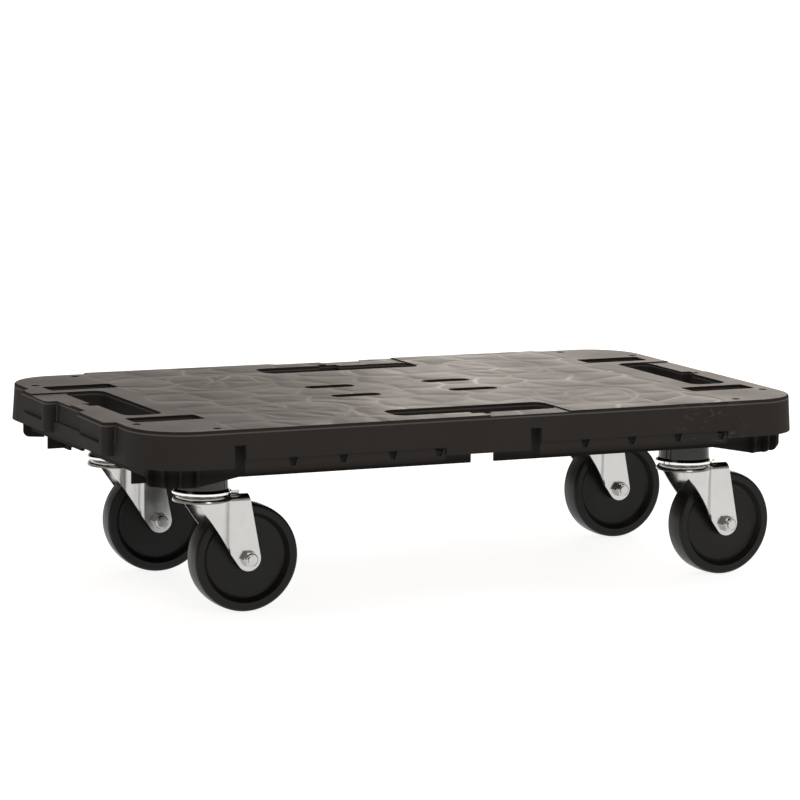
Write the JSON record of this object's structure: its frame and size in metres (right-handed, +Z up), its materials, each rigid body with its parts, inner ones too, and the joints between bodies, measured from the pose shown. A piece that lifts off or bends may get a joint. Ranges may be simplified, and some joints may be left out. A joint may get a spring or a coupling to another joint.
{
  "type": "platform dolly",
  "caption": "Low moulded platform dolly on swivel casters, with grip holes, strap slots and interlocking edges, for moving boxes and furniture by hand.",
  "frame": {"origin": "middle of the object's box, on the floor under the wheels", "axes": "+Z up, +X along the deck from the end with the tabs, +Y from the front side with the cut-outs to the back"},
  "size_m": [0.6836, 0.388, 0.179],
  "materials": {
    "deck_plastic": "moulded black, lightly textured on top",
    "wheel_plastic": "moulded black, slightly glossy",
    "zinc_steel": "bright zinc plated",
    "race_chrome": "polished",
    "bolt_steel": "zinc plated",
    "bush_plastic": "natural"
  },
  "bodies": {
    "deck": {"deck": "deck_plastic", "front_left_mounting_plate": "zinc_steel", "front_left_plate_screws": "bolt_steel", "front_left_king_pin": "zinc_steel", "front_left_upper_race": "race_chrome", "front_left_race_balls": "race_chrome", "rear_left_mounting_plate": "zinc_steel", "rear_left_plate_screws": "bolt_steel", "rear_left_king_pin": "zinc_steel", "rear_left_upper_race": "race_chrome", "rear_left_race_balls": "race_chrome", "rear_right_mounting_plate": "zinc_steel", "rear_right_plate_screws": "bolt_steel", "rear_right_king_pin": "zinc_steel", "rear_right_upper_race": "race_chrome", "rear_right_race_balls": "race_chrome", "front_right_mounting_plate": "zinc_steel", "front_right_plate_screws": "bolt_steel", "front_right_king_pin": "zinc_steel", "front_right_upper_race": "race_chrome", "front_right_race_balls": "race_chrome"},
    "front_left_swivel": {"front_left_thrust_washer": "zinc_steel", "front_left_fork": "zinc_steel", "front_left_axle_tube": "zinc_steel", "front_left_axle_bolt": "bolt_steel", "front_left_axle_nut": "bolt_steel", "front_left_hub_washers": "zinc_steel"},
    "front_left_wheel": {"front_left_hub_bush": "bush_plastic", "front_left_wheel": "wheel_plastic"},
    "rear_left_swivel": {"rear_left_thrust_washer": "zinc_steel", "rear_left_fork": "zinc_steel", "rear_left_axle_tube": "zinc_steel", "rear_left_axle_bolt": "bolt_steel", "rear_left_axle_nut": "bolt_steel", "rear_left_hub_washers": "zinc_steel"},
    "rear_left_wheel": {"rear_left_hub_bush": "bush_plastic", "rear_left_wheel": "wheel_plastic"},
    "rear_right_swivel": {"rear_right_thrust_washer": "zinc_steel", "rear_right_fork": "zinc_steel", "rear_right_axle_tube": "zinc_steel", "rear_right_axle_bolt": "bolt_steel", "rear_right_axle_nut": "bolt_steel", "rear_right_hub_washers": "zinc_steel"},
    "rear_right_wheel": {"rear_right_hub_bush": "bush_plastic", "rear_right_wheel": "wheel_plastic"},
    "front_right_swivel": {"front_right_thrust_washer": "zinc_steel", "front_right_fork": "zinc_steel", "front_right_axle_tube": "zinc_steel", "front_right_axle_bolt": "bolt_steel", "front_right_axle_nut": "bolt_steel", "front_right_hub_washers": "zinc_steel"},
    "front_right_wheel": {"front_right_hub_bush": "bush_plastic", "front_right_wheel": "wheel_plastic"}
  },
  "joints": [
    {"name": "front_left_swivel", "type": "hinge", "parent": "deck", "child": "front_left_swivel", "pos_m": [-0.2448, -0.10923, 0.131], "axis": [0, 0, 1], "continuous": true},
    {"name": "front_left_spin", "type": "hinge", "parent": "front_left_swivel", "child": "front_left_wheel", "pos_m": [-0.20482, -0.11035, 0.05], "axis": [0.0279, 0.9996, 0], "continuous": true},
    {"name": "rear_left_swivel", "type": "hinge", "parent": "deck", "child": "rear_left_swivel", "pos_m": [-0.2448, 0.10337, 0.131], "axis": [0, 0, 1], "continuous": true},
    {"name": "rear_left_spin", "type": "hinge", "parent": "rear_left_swivel", "child": "rear_left_wheel", "pos_m": [-0.20502, 0.09925, 0.05], "axis": [0.1028, 0.9947, 0], "continuous": true},
    {"name": "rear_right_swivel", "type": "hinge", "parent": "deck", "child": "rear_right_swivel", "pos_m": [0.2518, 0.10337, 0.131], "axis": [0, 0, 1], "continuous": true},
    {"name": "rear_right_spin", "type": "hinge", "parent": "rear_right_swivel", "child": "rear_right_wheel", "pos_m": [0.29179, 0.10399, 0.05], "axis": [-0.0157, 0.9999, 0], "continuous": true},
    {"name": "front_right_swivel", "type": "hinge", "parent": "deck", "child": "front_right_swivel", "pos_m": [0.2518, -0.10923, 0.131], "axis": [0, 0, 1], "continuous": true},
    {"name": "front_right_spin", "type": "hinge", "parent": "front_right_swivel", "child": "front_right_wheel", "pos_m": [0.29178, -0.10819, 0.05], "axis": [-0.0262, 0.9997, 0], "continuous": true}
  ]
}
